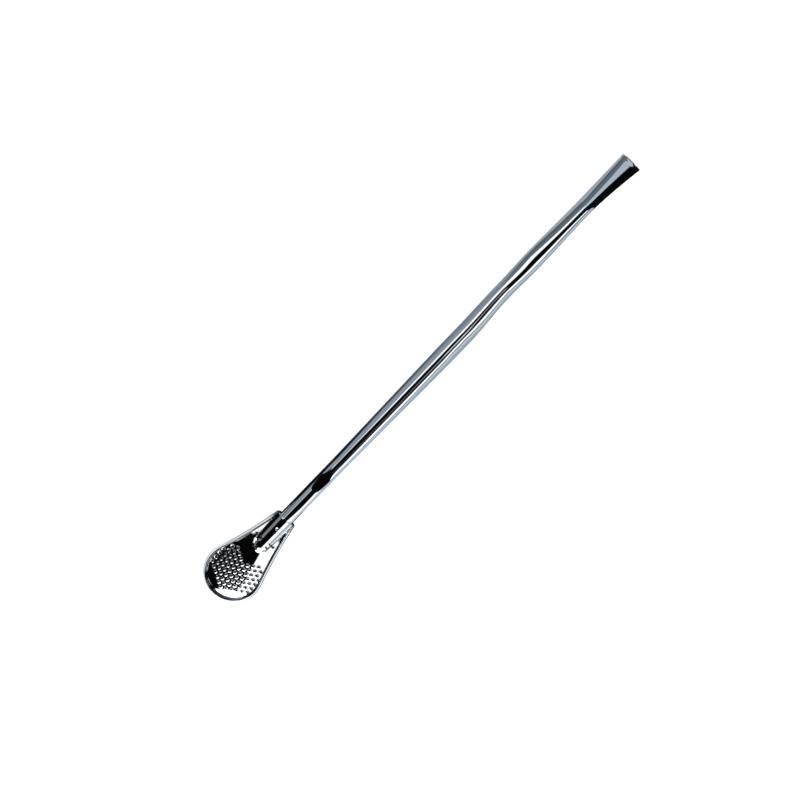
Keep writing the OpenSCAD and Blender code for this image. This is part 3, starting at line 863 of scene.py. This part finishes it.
def make_studio():
    s = Studio()
    # Tones from the tube's left side to its right, by lean: the head is at about -20, the lip past 14
    first = s.shade([(-14, 0.002), (-9, 0.06), (-3, 0.20), (3, 0.40), (40, 0.42)])
    left = s.shade([(-14, 0.002), (-10, 0.01), (-8, 0.22), (0, 0.22), (4, 0.11), (40, 0.10)])
    grey = s.shade([(-20, 0.20), (-14, 0.31), (-3, 0.31), (1, 0.24), (4, 0.15), (40, 0.15)])
    white_line = s.shade([(-17.1, 1.1), (-16.2, 0.9), (-15, 0.5), (-12.5, 0.7), (-9, 1.1), (11, 1.15),
                          (14, 1.0)], PLAIN)
    cool_line = s.shade([(12, 0.9), (14, 0.56), (25, 0.5)])
    line = s.mix(s.curve([(11, 0.0), (14, 1.0)], 0.0, 1.0), white_line, cool_line)
    glint = s.shade([(-14, 0.002), (-11, 0.08), (-8, 0.15), (-6, 0.3), (-4, 0.7), (-2, 0.95), (0, 0.6),
                     (3, 0.002)], PLAIN)
    dip = s.shade([(-15, 0.42), (-8, 0.2), (-3, 0.12), (5.6, 0.30), (10, 0.20), (12.5, 0.13)])
    light = s.shade([(-20, 0.5), (-15, 0.6), (-6, 0.66), (40, 0.6)])
    far = s.shade([(-20, 0.45), (-15, 0.5), (-6, 0.41), (40, 0.4)])
    # Each band's tone, the softness of its edge, and the edge's (lean, roll) keys
    color = s.paint(first, [
        (left, 4, [(-60, -150), (-15, -146), (-12.5, -122), (-11, -106), (-9, -95), (0, -97), (5.6, -97),
                   (10, -76), (12.5, -62), (16, -72), (25, -51)]),
        (grey, 4, [(-60, -30), (-25, -42), (-22, -72), (-17, -74), (-15, -76), (-12.5, -78), (-11, -86),
                   (-9, -94), (0, -80), (5.6, -70), (10, -50), (12.5, -36), (16, -48), (25, -34)]),
        (line, 3, [(-60, -40), (-17.2, -40), (-16.9, -32), (-15, -29), (-12.5, -30), (-6, -41), (-3, -43),
                   (2, -44), (5.6, -40), (10, -14), (12.5, -5), (16, -3), (25, -16)]),
        (BLACK, 2.5, [(-60, -40), (-17.2, -40), (-16.9, -20), (-15, -19), (-12.5, -20), (-6, -23), (-3, -25),
                      (2, -18), (5.6, -9), (10, 7), (12.5, 15), (14, 22), (16, 26), (25, 15)]),
        (glint, 2, [(-13, 23), (-11, 21), (-8, 12), (-6, 7), (-4, 4), (-2, 1), (4, 1), (5.6, 5), (10, 25),
                    (14, 60)]),
        (BLACK, 2, [(-13, 32), (-11, 30), (-8, 21), (-6, 16), (-4, 13), (-2, 10), (4, 10), (5.6, 14),
                    (10, 34), (14, 70)]),
        (WHITE, 2.5, [(-60, 4), (-56, 8), (-47, 20), (-36, 33), (-25, 32), (-19, 29), (-17, 30), (-15, 50),
                      (-12.5, 51), (-8, 43), (-6, 37), (-4, 33), (-2.5, 28), (2, 35), (5.6, 41), (10, 49),
                      (12.5, 74), (14, 176)]),
        (dip, 2, [(-60, 80), (-24, 78), (-21, 68), (-17, 68), (-15, 90), (-12.5, 84), (-8, 68), (-6, 56),
                  (-4, 54), (-2.5, 47), (2, 58), (5.6, 68), (10, 68), (12.5, 94), (14, 177)]),
        (light, 3, [(-60, 86), (-24, 84), (-21, 79), (-17, 79), (-15, 99), (-12.5, 97), (-8, 82), (-6, 68),
                    (-2.5, 60), (2, 72), (5.6, 84), (10, 95), (12.5, 112), (14, 178)]),
        (far, 8, [(-60, 120), (-15, 150), (-8, 100), (-6, 90), (-2.5, 82), (2, 95), (5.6, 105), (10, 125),
                  (12.5, 160), (14, 172)]),
        # Straight down the studio is darkened: painted shade under the object
        (SHADE_BELOW, 6, [(-60, 168), (40, 168)]),
        (BRIGHT, 2, [(-60, 6), (-56, 10), (-47, 22), (-36, 35), (-30, 42), (-27, 179)]),
    ])
    # Beyond the head and beyond the lip the studio is the same for every lean
    past_head = s.strips(DIM, [(BLUE, 8, -150), (BLACK, 5, -95), (SOFT_BOX, 3, 6), (BLACK, 3, 70),
                               (PALE, 4, 88), (DIM, 10, 150)])
    past_lip = s.strips(DIM, [(BLUE, 8, -130), (WHITE, 3, -66), (BLACK, 3, -40), (WHITE, 3, 30),
                              (DIM, 3, 62), (PALE, 4, 76), (DIM, 10, 140)])
    color = s.beyond(-66, -72, color, past_head)
    color = s.beyond(30, 36, color, past_lip)
    s.finish(color)


make_studio()


# Camera, placed as the photograph's was: sizes in millimetres and pixels, angles in degrees
CAMERA_TARGET = (-8.76, 0.21, AXIS_Z)
CAMERA_DISTANCE, CAMERA_TILT = 446.8, 7.1
PICTURE_TURN = 45.9481
PICTURE_PIXELS, FOCAL_PIXELS, SENSOR = 800, 1125, 36


def make_camera():
    target = Vector(CAMERA_TARGET) * MM
    tilt, lean, turn = (math.radians(a) for a in (CAMERA_TILT, CAMERA_LEAN, PICTURE_TURN))
    away = Vector((math.sin(tilt), math.cos(tilt) * math.sin(lean), math.cos(tilt) * math.cos(lean)))
    place = target + away * CAMERA_DISTANCE * MM
    forward = -away
    along_x = (Vector((1, 0, 0)) - forward * forward.x).normalized()
    across = forward.cross(along_x)
    right = along_x * math.cos(turn) + across * math.sin(turn)
    up = along_x * math.sin(turn) - across * math.cos(turn)
    data = bpy.data.cameras.new("camera")
    data.sensor_width = SENSOR
    data.lens = SENSOR * FOCAL_PIXELS / PICTURE_PIXELS
    data.clip_start, data.clip_end = 0.01, 10
    camera = bpy.data.objects.new("camera", data)
    bpy.context.collection.objects.link(camera)
    facing = Matrix((right, up, away)).transposed().to_4x4()
    camera.matrix_world = Matrix.Translation(place) @ facing
    bpy.context.scene.camera = camera


make_camera()
bpy.context.scene.view_settings.view_transform = "Standard"
